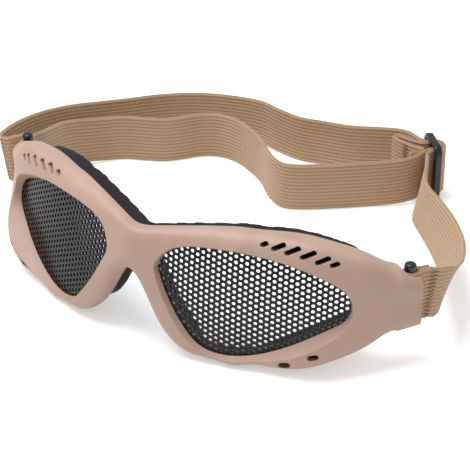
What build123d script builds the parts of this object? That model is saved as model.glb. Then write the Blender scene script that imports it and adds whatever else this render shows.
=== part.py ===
from build123d import *
from math import cos, radians, sin, sqrt, tan
import os

# Mesh safety goggles: a moulded frame with two domed perforated steel lenses, a foam
# face pad, and one elastic strap held by a pin at each temple and adjusted by a slider.
# X runs to the viewer's right, Y to the back of the head, Z up from the table.

# Driving dimensions in millimetres
PIN_HALF_SPAN = 85.0      # middle plane to the axis of a strap pin
PIN_SETBACK = 26.0        # depth of the pin axes behind the origin
FRAME_HEIGHT = 47.0       # chin edge to the highest point of the brow
FRAME_DEPTH = 10.0        # moulded depth at the middle of an eye
FRAME_WALL = 1.8          # moulded wall
LENS_LENGTH = 67.4        # lens opening, along the brow
LENS_HEIGHT = 35.6        # lens opening, brow to cheek
LENS_X = 41.5             # middle of a lens opening
LENS_Y = -6.7
LENS_Z = 24.4
MESH_THICKNESS = 0.8      # pressed steel sheet
MESH_DOME_RADIUS = 190.0  # outer face of the domed lens
FOAM_DEPTH = 8.0          # foam behind the frame
WEBBING_WIDTH = 20.0
WEBBING_THICKNESS = 1.4
PIN_DIAMETER = 3.0
SLIDER_X = 34.6           # middle of the slider's middle bar
SLIDER_Y = 134.8
SLIDER_HEIGHT = 25.0
SLIDER_THICKNESS = 3.0

# Angles in degrees
LENS_YAW = 22.1
LENS_TILT = 12.2
TEMPLE_TURN = 58.0
SLIDER_TURN = -44.8
VENT_TILT = 39.0
VENT_SLANT = 46.0
CHEEK_VENT_SLANT = 14.0

# Clearances
SEAT_GAP = 0.1            # lens in its groove and foam on its seat
MESH_FIT = 0.3            # round the edge of the lens
FOAM_FIT = 0.5            # foam inside the moulded wall
PIN_FIT = 0.05            # pin in its bore
WEBBING_FIT = 0.1         # webbing round a pin, and between two layers
PASS_GAP = 0.3            # webbing inside the slots of the slider

# Small sizes of the frame
MIDDLE_HEIGHT = 24.0      # height at which the back line of the frame is drawn
RIM_WIDTH = 4.2           # seat round a lens opening
COLLAR_DEPTH = 3.8        # back of the seat behind the lens plane
LIP_START = 1.9           # start of the flared lip behind the lens plane
LIP_REACH = 9.0
LIP_FLARE = 4.6           # flare of the lip over its reach
VENT_WIDTH = 2.0
VENT_LENGTH = 6.4
CHEEK_VENT_LENGTH = 5.6
CHEEK_VENT_HEIGHT = 3.0
CHEEK_VENT_DEPTH = 5.0
OVERRUN = 2.0             # extra length of every cutting body

# Small sizes of the temples
TEMPLE_BASE = 12.6        # underside of the temple
TEMPLE_LIFT = 0.5         # rise of the underside towards the end
POCKET_FLOOR = 14.6       # height of the floor that the webbing stands on
POCKET_WALL = 1.5
POCKET_EASE = 0.2         # webbing inside the pocket
POCKET_TOP = 34.0         # outer wall of the pocket at the end
POCKET_RISE = 2.8         # outer wall of the pocket, higher in front
INNER_WALL_TOP = 26.0     # wall on the head side
MOUTH_EASE = 2.6          # slot that the webbing leaves by, wider than two layers
FRONT_WALL = 1.8          # wall between the hollow of the frame and the pocket
TEMPLE_OVERHANG = 2.6     # temple behind the pin axis
POCKET_RADIUS = PIN_DIAMETER / 2 + WEBBING_FIT + WEBBING_THICKNESS + POCKET_EASE
POCKET_MOUTH = 2 * WEBBING_THICKNESS + MOUTH_EASE
TEMPLE_DEPTH = 2 * (POCKET_RADIUS + POCKET_WALL)

# Small sizes of the lenses and the foam
MESH_CROWN = 1.2          # dome in front of the lens plane
MESH_LAP = 2.4            # edge of the lens inside the frame
HOLE_PITCH = 3.7
HOLE_RADIUS = 1.3
FOAM_HOLE_EASE = 0.6

# Small sizes of the pins
PIN_HEAD_RADIUS = 2.1
PIN_HEAD_HEIGHT = 2.6
PIN_HEAD_EDGE = 1.0
PIN_FOOT = 13.2
PIN_SEAT = 0.2            # webbing above the floor, and pin head above the webbing

# Small sizes of the slider
SLIDER_MIDDLE_BAR = 3.4
SLIDER_END_BAR = 3.2
SLIDER_RAIL = 2.0
SLIDER_CORNER = 4.0
SLIDER_EDGE = 0.7
SLIDER_SLOT = 2 * WEBBING_THICKNESS + WEBBING_FIT + 3 * PASS_GAP
SLIDER_LENGTH = SLIDER_MIDDLE_BAR + 2 * SLIDER_SLOT + 2 * SLIDER_END_BAR

# Small sizes of the webbing's route
WRAP_RADIUS = PIN_DIAMETER / 2 + WEBBING_FIT + WEBBING_THICKNESS / 2
LEG_OFFSET = (WEBBING_THICKNESS + WEBBING_FIT) / 2
PASS_INNER = SLIDER_MIDDLE_BAR / 2 + 2 * PASS_GAP + WEBBING_THICKNESS / 2
PASS_OUTER = PASS_INNER + WEBBING_THICKNESS + PASS_GAP
LOOP_LENGTH = 7.4         # sewn loop behind the pin axis
PASS_HEIGHT = 2.5         # lower edge of the webbing in the slider
LEG_SHARE = 0.62          # straight leg beside a pin, as a share of the sewn loop
SECTION_STEP = 4.0        # distance between two modelled sections of the webbing

# Frame stations from the middle to the temple: x and y shares of the pin half span,
# turn and lean in degrees, low and high shares of the frame height, and brow, middle
# and chin shares of the frame depth
STATION_SHARES = (
    (0.000, -0.188, 0, 12, 0.606, 0.917, 0.50, 0.60, 0.55),
    (0.059, -0.176, 6, 12, 0.515, 0.923, 0.52, 0.64, 0.60),
    (0.112, -0.157, 12, 12, 0.320, 0.936, 0.55, 0.70, 0.65),
    (0.165, -0.138, 16, 12, 0.160, 0.950, 0.60, 0.76, 0.70),
    (0.235, -0.112, 19, 12, 0.055, 0.967, 0.65, 0.86, 0.76),
    (0.353, -0.068, 21, 12, 0.022, 0.993, 0.74, 0.96, 0.86),
    (0.471, -0.021, 23, 12, 0.030, 0.999, 0.82, 1.02, 0.98),
    (0.588, 0.031, 26, 12, 0.046, 1.000, 0.90, 1.08, 1.14),
    (0.688, 0.082, 31, 10, 0.077, 0.990, 0.94, 1.10, 1.30),
    (0.776, 0.141, 40, 7, 0.140, 0.950, 0.92, 1.06, 1.22),
    (0.850, 0.210, 49, 3, 0.209, 0.885, 0.90, 1.00, 1.08),
)
# One section of the frame: share of the local depth and share of the local height
PROFILE_SHARES = (
    (0.00, 0.990), (0.35, 1.000), (0.80, 0.965), (1.00, 0.880), (1.00, 0.500),
    (1.00, 0.120), (0.80, 0.030), (0.35, 0.000), (0.00, 0.008),
)
# Parts of a section that take the brow depth and the middle depth
BROW_SHARE = 0.6
CHIN_SHARE = 0.4
# Lens opening: shares of its length and height, from the nose corner round the cheek
OUTLINE_SHARES = (
    (-0.475, 0.180), (-0.430, -0.020), (-0.340, -0.310), (-0.235, -0.520), (-0.100, -0.575),
    (0.060, -0.520), (0.230, -0.390), (0.420, -0.200), (0.508, -0.070), (0.515, 0.060),
    (0.360, 0.265), (0.150, 0.375), (-0.050, 0.425), (-0.250, 0.440), (-0.390, 0.405),
    (-0.452, 0.320),
)
# Brow vents: shares of the lens length along and of the frame height up the lens plane,
# share of the frame depth in front of it, and share of the vent's length
VENT_SHARES = (
    (0.070, 0.438, 0.36, 0.50), (0.143, 0.432, 0.43, 0.90), (0.216, 0.418, 0.50, 1.00),
    (0.296, 0.402, 0.50, 1.00), (0.370, 0.374, 0.46, 0.95), (0.430, 0.352, 0.46, 0.60),
)
# Cheek vents, placed and sized in the same way
CHEEK_VENT_SHARES = ((0.214, -0.432, 0.50, 0.78), (0.358, -0.340, 0.50, 0.70))

# Webbing between two fixed places: shares along and beside the span, share of the
# webbing's width for the height of the lower edge and for the lean of the upper edge
SIDE_RUN_SHARES = (
    (0.043, -0.069, 0.69, 0.07, 0.03), (0.069, -0.078, 0.66, 0.15, 0.03),
    (0.099, -0.081, 0.635, 0.24, -0.02), (0.137, -0.08, 0.605, 0.34, -0.11),
    (0.196, -0.076, 0.55, 0.44, -0.18), (0.303, -0.07, 0.42, 0.56, -0.18),
    (0.447, -0.059, 0.26, 0.58, -0.13), (0.574, -0.028, 0.15, 0.5, -0.04),
    (0.702, 0.012, 0.07, 0.4, -0.05), (0.779, 0.038, 0.04, 0.31, -0.07),
    (0.833, 0.041, 0.045, 0.21, -0.04), (0.872, 0.025, 0.07, 0.09, -0.01),
)
REAR_RUN_SHARES = (
    (0.107, -0.132, 0.04), (0.179, -0.155, 0.025), (0.247, -0.193, 0.02), (0.3, -0.223, 0.02),
    (0.35, -0.283, 0.02), (0.385, -0.332, 0.02), (0.464, -0.377, 0.02), (0.552, -0.404, 0.02),
    (0.646, -0.404, 0.03), (0.74, -0.382, 0.06), (0.819, -0.354, 0.13), (0.885, -0.313, 0.25),
    (0.94, -0.263, 0.37), (0.981, -0.208, 0.48, -0.03, -0.02), (1.013, -0.154, 0.56, -0.07, -0.05),
    (1.038, -0.109, 0.59, -0.1, -0.08), (1.050, -0.076, 0.61, -0.1, -0.1),
    (1.045, -0.052, 0.64, -0.05, -0.07), (1.027, -0.049, 0.67, -0.02, -0.03),
    (1.009, -0.049, 0.70, 0, 0), (0.999, -0.043, 0.72, 0, 0),
)
FRONT_RUN_SHARES = (
    (0.036, 0.063, 0.68), (0.064, 0.126, 0.53), (0.091, 0.189, 0.36), (0.118, 0.236, 0.2),
    (0.152, 0.268, 0.08), (0.194, 0.283, 0.03), (0.247, 0.287, 0.02), (0.305, 0.271, 0.02),
    (0.348, 0.261, 0.02), (0.397, 0.266, 0.02), (0.444, 0.277, 0.02), (0.492, 0.27, 0.02),
    (0.534, 0.235, 0.02), (0.563, 0.178, 0.02), (0.584, 0.111, 0.02), (0.592, 0.04, 0.02),
    (0.603, -0.003, 0.02), (0.621, -0.03, 0.02), (0.659, -0.042, 0.02), (0.703, -0.046, 0.02),
    (0.761, -0.048, 0.02), (0.834, -0.048, 0.02), (0.883, -0.049, 0.03),
)
# Webbing beside the slider: shares of the slider's length towards its near end and out
# of its right-hand face, and share of the webbing's width for the lower edge
SIDE_ENTRY_SHARES = ((0.53, -0.29, 0.10), (0.36, -0.25, 0.115), (0.262, -0.12, 0.125))
REAR_EXIT_SHARES = (
    (-0.255, -0.11, 0.125), (-0.40, -0.21, 0.12), (-0.61, -0.26, 0.10), (-0.86, -0.33, 0.08),
    (-1.08, -0.53, 0.06),
)
FRONT_ENTRY_SHARES = (
    (0.40, -0.76, 0.05), (0.36, -0.52, 0.085), (0.26, -0.32, 0.11), (0.17, -0.14, 0.125),
)
HEM_SHARES = (
    (-0.17, -0.14, 0.12), (-0.29, -0.31, 0.11), (-0.50, -0.47, 0.10), (-0.68, -0.59, 0.09),
    (-0.74, -0.68, 0.09), (-0.68, -0.76, 0.09), (-0.52, -0.70, 0.09), (-0.28, -0.54, 0.09),
    (-0.08, -0.38, 0.09), (0.02, -0.27, 0.09), (0.10, -0.25, 0.09), (0.144, -0.344, 0.09),
    (0.18, -0.48, 0.09), (0.22, -0.62, 0.09),
)
WRAP_ANGLES = (70, 92, 114, 136, 158, 180, 202, 224, 246, 268, 290)
PASS_ANGLES = (0, 20, 40, 60, 80, 100, 120, 140, 160, 180)


def turned(angle):
    """Unit vectors along and out of a wall that is turned from the X axis by angle."""
    along = Vector(cos(radians(angle)), sin(radians(angle)))
    return along, Vector(along.Y, -along.X)


def pin_place(side):
    """Axis of a pin in plan, with the directions along and out of its temple."""
    along, out = turned(TEMPLE_TURN)
    return (Vector(side * PIN_HALF_SPAN, PIN_SETBACK), Vector(side * along.X, along.Y),
            Vector(side * out.X, out.Y))


def frame_station(row):
    """Place, turn, lean, low and high edges and the three depths of a station."""
    x, y, turn, lean, low, high, brow, middle, chin = row
    heights = (low * FRAME_HEIGHT, high * FRAME_HEIGHT)
    depths = (brow * FRAME_DEPTH, middle * FRAME_DEPTH, chin * FRAME_DEPTH)
    return Vector(x, y) * PIN_HALF_SPAN, turn, lean, heights, depths


def temple_station(setback, lift, rise):
    """Station on the straight temple, at a distance behind the pin axis."""
    place, along, out = pin_place(1)
    place = place + along * setback - out * (TEMPLE_DEPTH / 2)
    heights = (TEMPLE_BASE + lift, POCKET_TOP + rise)
    return place, TEMPLE_TURN, 0, heights, (TEMPLE_DEPTH, TEMPLE_DEPTH, TEMPLE_DEPTH)


def temple_front():
    """Station where the straight temple starts."""
    return temple_station(-POCKET_RADIUS - FRONT_WALL, 0, POCKET_RISE)


def section_points(station, inset, back):
    """Moulded outline of a section, drawn in by inset, then its closing corners."""
    place, turn, lean, heights, depths = station
    low, high = heights[0] + inset, heights[1] - inset
    out = turned(turn)[1]
    points = []
    for depth_share, height_share in PROFILE_SHARES:
        height = low + (high - low) * height_share
        level = 0 if height_share > BROW_SHARE else 1 if height_share > CHIN_SHARE else 2
        shift = depth_share * (depths[level] - inset) - (height - MIDDLE_HEIGHT) * tan(radians(lean))
        points.append(Vector(place.X + out.X * shift, place.Y + out.Y * shift, height))
    corners = [points[-1] + out * back, points[0] + out * back] if back else []
    return points, corners


def section_face(section):
    points, corners = section
    closing = Polyline(points[-1], *corners, points[0])
    return Face(Wire([Spline(*points).edge(), *closing.edges()]))


def half_stations():
    return [frame_station(row) for row in STATION_SHARES]


def frame_loft(stations, inset, back):
    """Loft through the sections of both halves, from the left-hand end to the right."""
    right = [section_points(station, inset, back) for station in stations]
    left = [[[Vector(-p.X, p.Y, p.Z) for p in line] for line in pair] for pair in right[:0:-1]]
    return loft([section_face(section) for section in left + right])


def lens_plane():
    """Plane of the right-hand lens opening, with its Z axis pointing forward."""
    along, out = turned(LENS_YAW)
    rise = radians(LENS_TILT)
    forward = Vector(out.X * cos(rise), out.Y * cos(rise), sin(rise))
    return Plane(origin=(LENS_X, LENS_Y, LENS_Z), x_dir=(along.X, along.Y, 0), z_dir=forward)


def outline_face(offset, height):
    """Lens outline grown by offset, on the lens plane moved forward by height."""
    corners = [Vector(u * LENS_LENGTH, v * LENS_HEIGHT) for u, v in OUTLINE_SHARES]
    plane = lens_plane()
    points = []
    for i, corner in enumerate(corners):
        run = (corners[(i + 1) % len(corners)] - corners[i - 1]).normalized()
        grown = corner + Vector(run.Y, -run.X) * offset
        points.append(plane.from_local_coords(Vector(grown.X, grown.Y, height)))
    return Face(Wire([Spline(*points, periodic=True).edge()]))


def outline_prism(offset, start, end):
    """Solid over the grown lens outline between two heights on the lens plane."""
    return extrude(outline_face(offset, start), amount=end - start, dir=lens_plane().z_dir)


def dome_ball(inset):
    """Ball whose surface is the outer face of the lens, drawn in by inset."""
    centre = lens_plane().from_local_coords(Vector(0, 0, MESH_CROWN - MESH_DOME_RADIUS))
    return Pos(*centre) * Sphere(MESH_DOME_RADIUS - inset)


def both_sides(solid):
    return [solid, mirror(solid, about=Plane.YZ)]


def lens_seat(outer):
    """Thick rim behind the front wall round a lens opening."""
    return outline_prism(RIM_WIDTH, -COLLAR_DEPTH, LIP_REACH) & outer


def lens_cut():
    """Opening, flared lip and groove of a lens."""
    opening = outline_prism(0, -COLLAR_DEPTH - OVERRUN, LIP_REACH)
    lip = loft([outline_face(0, -LIP_START), outline_face(LIP_FLARE, LIP_REACH)])
    sheet = dome_ball(-SEAT_GAP) - dome_ball(MESH_THICKNESS + SEAT_GAP)
    groove = outline_prism(MESH_LAP + MESH_FIT, -LIP_REACH, LIP_REACH) & sheet
    return opening + lip, groove


def vent_plane(u, v, forward):
    """Plane in front of the lens plane, given in shares."""
    plane = lens_plane()
    middle = Vector(u * LENS_LENGTH, v * FRAME_HEIGHT, forward * FRAME_DEPTH)
    return Plane(plane.from_local_coords(middle), x_dir=plane.x_dir, z_dir=plane.z_dir)


def brow_vents():
    """Slanted slots through the brow, shorter at both ends of the row."""
    cuts = []
    for u, v, forward, share in VENT_SHARES:
        slot = SlotOverall(VENT_LENGTH * share, VENT_WIDTH, rotation=VENT_SLANT)
        spot = vent_plane(u, v, forward).rotated((-VENT_TILT, 0, 0))
        reach = forward * FRAME_DEPTH + COLLAR_DEPTH + OVERRUN
        cuts.append(extrude(spot * slot, amount=reach, dir=lens_plane().z_dir, both=True))
    return cuts


def cheek_vents():
    """Oblong holes through the cheek."""
    cuts = []
    for u, v, forward, share in CHEEK_VENT_SHARES:
        spot = vent_plane(u, v, forward)
        width = CHEEK_VENT_LENGTH * share
        hole = SlotOverall(width, CHEEK_VENT_HEIGHT * share, rotation=CHEEK_VENT_SLANT)
        cuts.append(extrude(spot * hole, amount=CHEEK_VENT_DEPTH, both=True))
    return cuts


def temple_block():
    """Straight temple with the keyhole pocket for the webbing and the bore for the pin."""
    faces = []
    for station in (temple_front(), temple_station(TEMPLE_OVERHANG, TEMPLE_LIFT, 0)):
        faces.append(section_face(section_points(station, 0, 0)))
    return loft(faces, ruled=True)


def pocket_cuts():
    """Pocket, mouth, lowered inner wall and pin bore of the right-hand temple."""
    place, along, out = pin_place(1)
    height = FRAME_HEIGHT - POCKET_FLOOR
    floor = Plane(origin=(place.X, place.Y, POCKET_FLOOR), x_dir=(along.X, along.Y, 0))
    reach = TEMPLE_OVERHANG + OVERRUN
    pocket = extrude(floor * Circle(POCKET_RADIUS), amount=height)
    mouth = extrude(floor * Pos(reach / 2, 0) * Rectangle(reach, POCKET_MOUTH), amount=height)
    wall = Plane(origin=(place.X, place.Y, INNER_WALL_TOP), x_dir=(along.X, along.Y, 0))
    length = POCKET_RADIUS + reach
    width = POCKET_RADIUS + POCKET_WALL + OVERRUN
    middle = Pos((reach - POCKET_RADIUS) / 2, width / 2)
    low_wall = extrude(wall * middle * Rectangle(length, width), amount=FRAME_HEIGHT - INNER_WALL_TOP)
    bore = extrude(floor * Circle(PIN_DIAMETER / 2 + PIN_FIT), amount=-POCKET_FLOOR)
    return pocket + mouth + low_wall + bore


def make_frame():
    stations = half_stations()
    outer = frame_loft(stations + [temple_front()], 0, 0)
    hollow = frame_loft(stations + [temple_front()], FRAME_WALL, -OVERRUN)
    shell = outer - hollow
    opening, groove = lens_cut()
    for seat in both_sides(lens_seat(outer)):
        shell = shell + seat
    for block in both_sides(temple_block()):
        shell = shell + block
    for cut in (opening, groove, pocket_cuts(), *brow_vents(), *cheek_vents()):
        for tool in both_sides(cut):
            shell = shell - tool
    return shell


def hole_places():
    """Staggered places of the holes that lie wholly inside the opening."""
    field = outline_face(-HOLE_RADIUS, 0)
    plane = lens_plane()
    row_pitch = HOLE_PITCH * sqrt(3) / 2
    rows = int(LENS_HEIGHT / row_pitch)
    columns = int(LENS_LENGTH / HOLE_PITCH)
    places = []
    for row in range(-rows, rows + 1):
        for column in range(-columns, columns + 1):
            place = Vector((column + (row % 2) / 2) * HOLE_PITCH, row * row_pitch)
            if field.is_inside(plane.from_local_coords(place), SEAT_GAP):
                places.append(place)
    return places


def make_lens():
    """Domed sheet with staggered rows of holes, for the right-hand opening."""
    sheet = dome_ball(0) - dome_ball(MESH_THICKNESS)
    lens = outline_prism(MESH_LAP, -LIP_REACH, LIP_REACH) & sheet
    spot = lens_plane().offset(-LIP_REACH)
    hole = extrude(spot * RegularPolygon(HOLE_RADIUS, 6), amount=2 * LIP_REACH)
    along, up = spot.x_dir, spot.y_dir
    holes = [Pos(*(along * place.X + up * place.Y)) * hole for place in hole_places()]
    return lens - Compound(holes)


def make_foam():
    """Foam pad inside and behind the frame, with a hole for each eye."""
    stations = half_stations()
    pad = frame_loft(stations + [temple_front()], FRAME_WALL + FOAM_FIT, -FOAM_DEPTH)
    reach = 2 * LENS_LENGTH
    place, turn = stations[-1][:2]
    along = turned(turn)[0]
    ends = extrude(Plane(place, z_dir=along) * Rectangle(reach, reach), amount=reach)
    front = lens_plane().offset(-COLLAR_DEPTH - SEAT_GAP) * Rectangle(reach, reach)
    block = extrude(front, amount=reach)
    eye = outline_prism(FOAM_HOLE_EASE, -LENS_LENGTH, LIP_REACH)
    for cut in (block, eye, ends):
        for tool in both_sides(cut):
            pad = pad - tool
    return pad


def make_pin():
    """Headed pin of the right-hand temple."""
    shank = PIN_DIAMETER / 2
    neck = POCKET_FLOOR + WEBBING_WIDTH + 2 * PIN_SEAT
    top = neck + PIN_HEAD_HEIGHT
    corners = [(0, PIN_FOOT), (shank, PIN_FOOT), (shank, neck), (PIN_HEAD_RADIUS, neck),
               (PIN_HEAD_RADIUS, top), (0, top)]
    profile = Plane.XZ * make_face(Polyline(*corners, close=True))
    pin = revolve(profile, Axis.Z)
    pin = fillet(pin.edges().group_by(Axis.Z)[-1], PIN_HEAD_EDGE)
    place = pin_place(1)[0]
    return Pos(place.X, place.Y) * pin


def slider_plane():
    """Plane along the slider at table level, with its X axis towards the near end."""
    along, out = turned(SLIDER_TURN)
    return Plane(origin=(SLIDER_X, SLIDER_Y, 0), x_dir=(along.X, along.Y, 0))


def make_slider():
    """Rounded plate with two slots and a middle bar that the webbing folds over."""
    slot_height = SLIDER_HEIGHT - 2 * SLIDER_RAIL
    offset = (SLIDER_MIDDLE_BAR + SLIDER_SLOT) / 2
    outline = RectangleRounded(SLIDER_LENGTH, SLIDER_HEIGHT, SLIDER_CORNER)
    for side in (-1, 1):
        outline -= Pos(side * offset, 0) * Rectangle(SLIDER_SLOT, slot_height)
    plate = extrude(Plane.XZ * outline, amount=SLIDER_THICKNESS / 2, both=True)
    faces = plate.faces().filter_by(Axis.Y)
    plate = fillet(faces.edges(), SLIDER_EDGE)
    return slider_plane() * Pos(0, 0, SLIDER_HEIGHT / 2) * plate


def span_rows(shares, start, end):
    """Rows of webbing between two places: place in plan, lower edge and lean."""
    span = end - start
    beside = Vector(-span.Y, span.X)
    rows = []
    for along, side, height, *lean in shares:
        lean_x, lean_y = lean or (0, 0)
        place = start + span * along + beside * side
        rows.append((place, height * WEBBING_WIDTH, Vector(lean_x, lean_y) * WEBBING_WIDTH))
    return rows


def slider_rows(shares):
    """Rows of webbing beside the slider."""
    plane = slider_plane()
    rows = []
    for along, out, height in shares:
        place = plane.from_local_coords(Vector(along, out) * SLIDER_LENGTH)
        rows.append((Vector(place.X, place.Y), height * WEBBING_WIDTH, Vector()))
    return rows


def pass_rows(radius):
    """Rows of webbing folded over the middle bar, from the near slot to the far one."""
    plane = slider_plane()
    rows = []
    for angle in PASS_ANGLES:
        turn = radians(angle)
        place = plane.from_local_coords(Vector(radius * cos(turn), radius * sin(turn)))
        rows.append((Vector(place.X, place.Y), PASS_HEIGHT, Vector()))
    return rows


def leg_row(side, behind, out_shift):
    """Row of webbing in the mouth of a pocket, a distance behind the pin axis."""
    place, along, out = pin_place(side)
    return place + along * behind + out * out_shift, POCKET_FLOOR + PIN_SEAT, Vector()


def wrap_rows(side, turn_way):
    """Rows of webbing round a pin; turn_way is 1 from the outer leg, -1 from the inner."""
    place, along, out = pin_place(side)
    rows = []
    for angle in WRAP_ANGLES:
        turn = radians(angle)
        spot = place + along * (WRAP_RADIUS * cos(turn)) + out * (turn_way * WRAP_RADIUS * sin(turn))
        rows.append((spot, POCKET_FLOOR + PIN_SEAT, Vector()))
    return rows


def strap_rows():
    """Whole route of the webbing, from its sewn loop on the right-hand pin to its hem."""
    right, left = pin_place(1)[0], pin_place(-1)[0]
    middle = Vector(SLIDER_X, SLIDER_Y)
    leg = LOOP_LENGTH * LEG_SHARE
    return (
        [leg_row(1, LOOP_LENGTH, -LEG_OFFSET), leg_row(1, leg, -LEG_OFFSET)]
        + wrap_rows(1, -1)
        + [leg_row(1, leg, LEG_OFFSET), leg_row(1, LOOP_LENGTH, LEG_OFFSET)]
        + span_rows(SIDE_RUN_SHARES, right, middle) + slider_rows(SIDE_ENTRY_SHARES)
        + pass_rows(PASS_OUTER) + slider_rows(REAR_EXIT_SHARES)
        + span_rows(REAR_RUN_SHARES, middle, left) + [leg_row(-1, leg, LEG_OFFSET)]
        + wrap_rows(-1, 1) + [leg_row(-1, leg, -LEG_OFFSET)]
        + span_rows(FRONT_RUN_SHARES, left, middle) + slider_rows(FRONT_ENTRY_SHARES)
        + pass_rows(PASS_INNER) + slider_rows(HEM_SHARES)
    )


def blended_rows():
    """Rows of the whole route, with more between those that lie far apart."""
    rows = strap_rows()
    marks = [(Vector(place.X, place.Y, height), lean) for place, height, lean in rows]
    steps = [(marks[i + 1][0] - marks[i][0]).length for i in range(len(marks) - 1)]
    steps = [steps[0], *steps, steps[-1]]
    slopes = []
    for i in range(len(marks)):
        before, after = marks[max(i - 1, 0)], marks[min(i + 1, len(marks) - 1)]
        span = steps[i] * (i > 0) + steps[i + 1] * (i < len(marks) - 1)
        slopes.append([(after[k] - before[k]) / span for k in (0, 1)])
    result = [marks[0]]
    for i in range(len(marks) - 1):
        step = steps[i + 1]
        count = max(1, round(step / SECTION_STEP))
        for j in range(1, count + 1):
            t = j / count
            ease = t * t * (3 - 2 * t)
            leave, arrive = t * (1 - t) * (1 - t) * step, t * t * (t - 1) * step
            result.append([marks[i][k] * (1 - ease) + marks[i + 1][k] * ease
                           + slopes[i][k] * leave + slopes[i + 1][k] * arrive for k in (0, 1)])
    return result


def webbing_sections():
    """Cross-sections of the webbing, close enough for the curves of its route."""
    rows = blended_rows()
    sections = []
    for i, (low, lean) in enumerate(rows):
        run = rows[min(i + 1, len(rows) - 1)][0] - rows[max(i - 1, 0)][0]
        half = Vector(-run.Y, run.X).normalized() * (WEBBING_THICKNESS / 2)
        high = low + Vector(lean.X, lean.Y, sqrt(WEBBING_WIDTH ** 2 - lean.length ** 2))
        sections.append((low + half, high + half, high - half, low - half))
    return sections


def make_strap():
    """Webbing of even width and thickness along its route."""
    sections = webbing_sections()
    faces = []
    for here, there in zip(sections, sections[1:]):
        for i in range(4):
            faces.append(Face.make_surface_from_curves(
                Line(here[i - 1], there[i - 1]).edge(), Line(here[i], there[i]).edge()))
    for corners in (sections[0], sections[-1]):
        faces.append(Face(Wire(Polyline(*corners, close=True).edges())))
    return Solid(Shell(faces))


def write(name, solid):
    solid.label = name
    export_step(solid, os.path.join("parts", name + ".step"))


def main():
    os.makedirs("parts", exist_ok=True)
    write("frame_shell", make_frame())
    lens = make_lens()
    write("mesh_lens_right", lens)
    write("mesh_lens_left", mirror(lens, about=Plane.YZ))
    write("face_foam", make_foam())
    pin = make_pin()
    write("strap_pin_right", pin)
    write("strap_pin_left", mirror(pin, about=Plane.YZ))
    write("strap_slider", make_slider())
    write("elastic_strap", make_strap())


if __name__ == "__main__":
    main()
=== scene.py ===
"""Dressed model of mesh safety goggles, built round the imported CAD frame.

The moulded frame, the two pins and the slider are the CAD solids with procedural
finishes. The perforated lenses, the foam pad, the webbing and its stitching are made
here, in the places of their CAD solids.
"""

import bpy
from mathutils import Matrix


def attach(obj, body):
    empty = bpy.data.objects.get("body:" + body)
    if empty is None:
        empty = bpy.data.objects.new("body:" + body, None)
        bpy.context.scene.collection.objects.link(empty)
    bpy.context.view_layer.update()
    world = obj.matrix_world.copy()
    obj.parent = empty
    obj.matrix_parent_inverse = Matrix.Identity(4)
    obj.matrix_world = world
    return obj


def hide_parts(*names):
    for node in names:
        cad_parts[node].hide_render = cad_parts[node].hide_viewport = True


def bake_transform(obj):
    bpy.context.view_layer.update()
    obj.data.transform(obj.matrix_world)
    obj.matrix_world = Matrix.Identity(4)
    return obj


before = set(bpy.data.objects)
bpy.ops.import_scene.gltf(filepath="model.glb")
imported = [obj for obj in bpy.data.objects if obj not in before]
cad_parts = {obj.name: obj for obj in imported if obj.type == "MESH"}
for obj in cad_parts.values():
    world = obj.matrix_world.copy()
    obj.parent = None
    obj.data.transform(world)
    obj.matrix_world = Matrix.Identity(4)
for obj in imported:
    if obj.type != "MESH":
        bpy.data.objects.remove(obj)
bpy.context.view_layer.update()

import logging
from dataclasses import dataclass, field
from enum import Enum
from math import cos, floor, pi, radians, sin, sqrt

import bpy
from mathutils import Matrix, Vector

MM = 0.001
MERGE = 0.01 * MM
LOG = logging.getLogger("goggles")

Colour = tuple[float, float, float, float]
Ends = tuple[float, float]
Spot = tuple[float, float, float]
Socket = bpy.types.NodeSocket
Tree = bpy.types.NodeTree
Piece = bpy.types.Object
Material = bpy.types.Material
Shares = tuple[tuple[float, ...], ...]
Row = tuple[Vector, float, Vector]
Section = tuple[Vector, Vector, Vector, float]
WHITE: Colour = (1.0, 1.0, 1.0, 1.0)
UPRIGHT = Vector((0, 0)).freeze()
EDGE_SAMPLES = 6


class Body(Enum):
    """Bodies that the pieces ride on."""

    GOGGLES = "goggles"
    SLIDER = "slider"


class Side(Enum):
    """The viewer's right and left."""

    RIGHT = 1
    LEFT = -1


class Coordinates(Enum):
    """What the patterns of a finish lie on: the solid as it is, or its unrolled surface."""

    SOLID = "Object"
    SURFACE = "UV"


class Effect(Enum):
    """Shared effects, with the names of their node groups."""

    GRAIN = "moulded_grain"
    RUB = "edge_rub"
    DUST = "settled_dust"
    SCRATCH = "hairline_scratches"
    WEAVE = "webbing_weave"
    CELLS = "foam_cells"
    # Painted shade: darker colour in slots and inner corners, where little light comes.
    RECESS_SHADE = "painted_recess_shade"


def paint(red: int, green: int, blue: int) -> Colour:
    """Linear colour of a display colour.

    Args:
        red: Red from 0 to 255.
        green: Green from 0 to 255.
        blue: Blue from 0 to 255.

    Returns:
        The colour with full alpha, as a shader socket takes it.
    """
    def linear(value: float) -> float:
        """Linear value of one display channel from 0 to 1."""
        return value / 12.92 if value <= 0.04045 else ((value + 0.055) / 1.055) ** 2.4

    return (linear(red / 255), linear(green / 255), linear(blue / 255), 1.0)


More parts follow.
